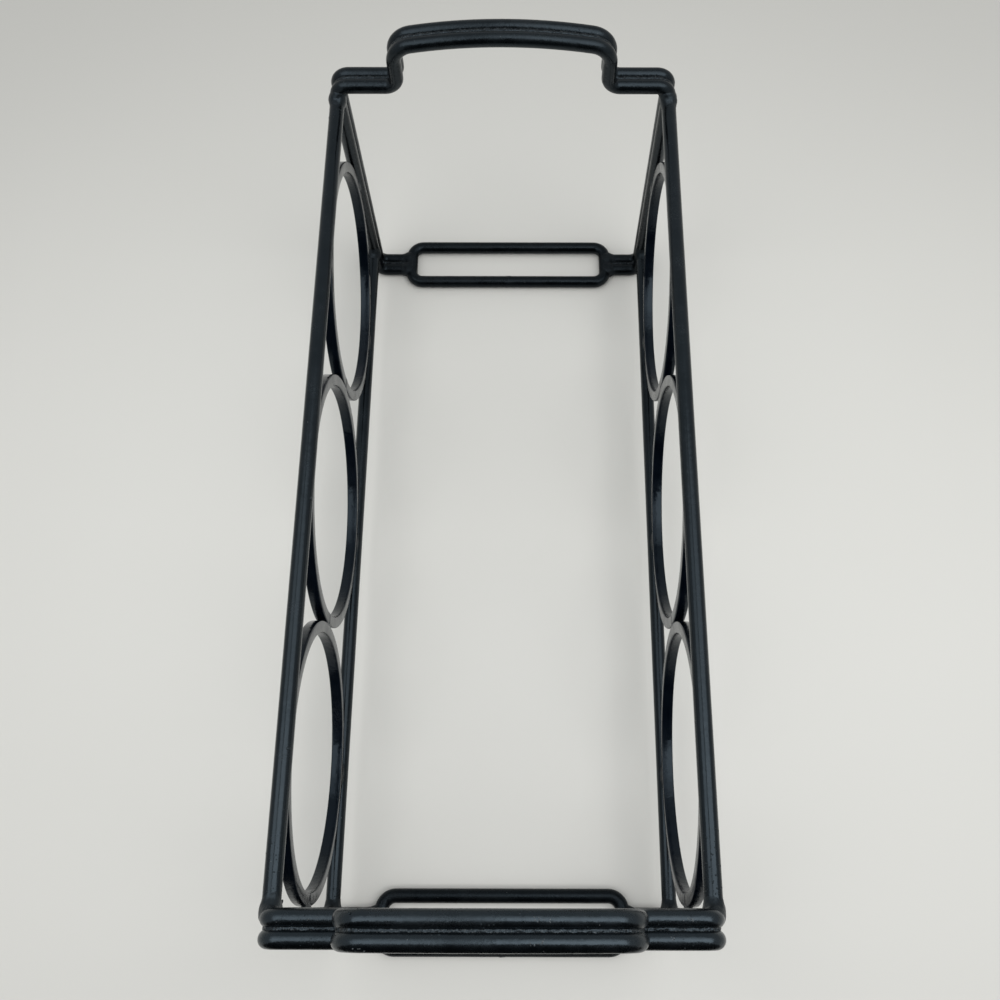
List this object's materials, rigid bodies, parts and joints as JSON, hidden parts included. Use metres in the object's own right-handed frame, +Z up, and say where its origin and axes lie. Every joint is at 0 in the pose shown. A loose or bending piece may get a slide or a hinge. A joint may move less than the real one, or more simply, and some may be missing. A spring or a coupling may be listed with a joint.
{
  "type": "tabletop wine rack",
  "caption": "Low open wine rack of black coated steel rod: double-rod ends with arched carrying grips, rails, square-bar bottle rings along both sides and rod foot loops.",
  "frame": {"origin": "on the floor under the middle of the rack", "axes": "+Z up, +Y along the rack from the near end to the far end, +X to the right across the rack"},
  "size_m": [0.1544, 0.375, 0.1752],
  "materials": {
    "rod_coat": "satin black powder coat on round rod",
    "ring_coat": "satin black powder coat on square bar",
    "weld_coat": "rougher black coat over weld beads"
  },
  "bodies": {
    "root": {"near_inner_end_rod": "rod_coat", "near_outer_end_rod": "rod_coat", "far_inner_end_rod": "rod_coat", "far_outer_end_rod": "rod_coat", "near_foot_loop": "rod_coat", "far_foot_loop": "rod_coat", "left_top_rail": "rod_coat", "left_bottom_rail": "rod_coat", "right_top_rail": "rod_coat", "right_bottom_rail": "rod_coat", "left_ring_1": "ring_coat", "left_ring_2": "ring_coat", "left_ring_3": "ring_coat", "right_ring_1": "ring_coat", "right_ring_2": "ring_coat", "right_ring_3": "ring_coat", "left_ring_1_top_weld": "weld_coat", "left_ring_1_bottom_weld": "weld_coat", "left_ring_2_top_weld": "weld_coat", "left_ring_2_bottom_weld": "weld_coat", "left_ring_3_top_weld": "weld_coat", "left_ring_3_bottom_weld": "weld_coat", "left_ring_near_post_weld": "weld_coat", "left_ring_far_post_weld": "weld_coat", "left_rings_1_2_weld": "weld_coat", "left_rings_2_3_weld": "weld_coat", "right_ring_1_top_weld": "weld_coat", "right_ring_1_bottom_weld": "weld_coat", "right_ring_2_top_weld": "weld_coat", "right_ring_2_bottom_weld": "weld_coat", "right_ring_3_top_weld": "weld_coat", "right_ring_3_bottom_weld": "weld_coat", "right_ring_near_post_weld": "weld_coat", "right_ring_far_post_weld": "weld_coat", "right_rings_1_2_weld": "weld_coat", "right_rings_2_3_weld": "weld_coat", "left_top_rail_near_weld": "weld_coat", "left_top_rail_far_weld": "weld_coat", "left_bottom_rail_near_weld": "weld_coat", "left_bottom_rail_far_weld": "weld_coat", "right_top_rail_near_weld": "weld_coat", "right_top_rail_far_weld": "weld_coat", "right_bottom_rail_near_weld": "weld_coat", "right_bottom_rail_far_weld": "weld_coat", "near_left_foot_weld": "weld_coat", "far_left_foot_weld": "weld_coat", "near_right_foot_weld": "weld_coat", "far_right_foot_weld": "weld_coat"}
  },
  "joints": []
}
